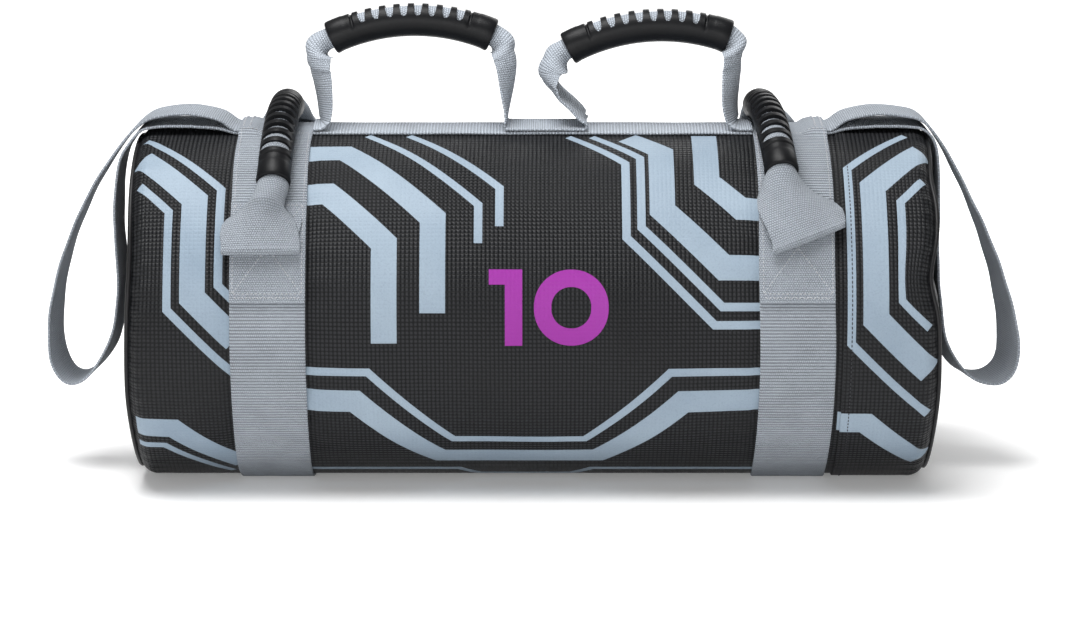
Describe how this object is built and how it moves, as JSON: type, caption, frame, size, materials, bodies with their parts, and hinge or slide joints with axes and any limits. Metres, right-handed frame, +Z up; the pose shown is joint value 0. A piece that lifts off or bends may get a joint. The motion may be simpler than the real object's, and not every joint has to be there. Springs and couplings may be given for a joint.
{
  "type": "sandbag trainer",
  "caption": "Stuffed strength-training bag lying on its side, with webbing girth bands, upright and over-band handles in ribbed rubber grips, and a webbing loop at each end.",
  "frame": {"origin": "on the floor, under the middle of the bag between its end loops", "axes": "+X along the bag, towards the end with the separate lapped panel; -Y is the front, where the print and the number are; +Z up"},
  "size_m": [0.6694, 0.2466, 0.3219],
  "materials": {
    "coated_fabric": "satin",
    "piping": "satin",
    "webbing": "matte",
    "grip_rubber": "satin",
    "filling": "matte",
    "sand_liner": "matte"
  },
  "bodies": {
    "bag": {"shell_main": "coated_fabric", "shell_cuff": "coated_fabric", "end_disc_left": "coated_fabric", "end_disc_right": "coated_fabric", "end_piping_left": "piping", "end_piping_right": "piping", "filler_roll": "filling", "sand_core": "sand_liner", "band_left": "webbing", "band_right": "webbing", "top_strip": "webbing", "centre_tab": "webbing", "outer_tab_left": "webbing", "outer_tab_right": "webbing", "patch_left_front": "webbing", "patch_left_back": "webbing", "patch_right_front": "webbing", "patch_right_back": "webbing", "front_fold_left": "webbing", "front_fold_right": "webbing", "rear_tail_left": "webbing", "rear_tail_right": "webbing", "loop_tail_left": "webbing", "loop_tail_right": "webbing"},
    "top_handle_left": {"top_strap_left": "webbing", "top_grip_left": "grip_rubber"},
    "top_handle_right": {"top_strap_right": "webbing", "top_grip_right": "grip_rubber"},
    "band_handle_left": {"band_strap_left": "webbing", "band_grip_left": "grip_rubber"},
    "band_handle_right": {"band_strap_right": "webbing", "band_grip_right": "grip_rubber"},
    "loop_left": {"end_loop_left": "webbing"},
    "loop_right": {"end_loop_right": "webbing"}
  },
  "joints": [
    {"name": "top_handle_left_hinge", "type": "hinge", "parent": "bag", "child": "top_handle_left", "pos_m": [-0.08, 0, 0.2641], "axis": [1, 0, 0], "range_deg": [-90, 90]},
    {"name": "top_handle_right_hinge", "type": "hinge", "parent": "bag", "child": "top_handle_right", "pos_m": [0.08, 0, 0.2641], "axis": [1, 0, 0], "range_deg": [-90, 90]},
    {"name": "band_handle_left_lift", "type": "slide", "parent": "bag", "child": "band_handle_left", "axis": [0, 0, 1], "range_m": [0, 0.035]},
    {"name": "band_handle_right_lift", "type": "slide", "parent": "bag", "child": "band_handle_right", "axis": [0, 0, 1], "range_m": [0, 0.035]},
    {"name": "end_loop_left_hinge", "type": "hinge", "parent": "bag", "child": "loop_left", "pos_m": [-0.20265, 0, 0.2434], "axis": [0, 1, 0], "range_deg": [0, 100]},
    {"name": "end_loop_right_hinge", "type": "hinge", "parent": "bag", "child": "loop_right", "pos_m": [0.20265, 0, 0.2434], "axis": [0, -1, 0], "range_deg": [0, 100]}
  ]
}
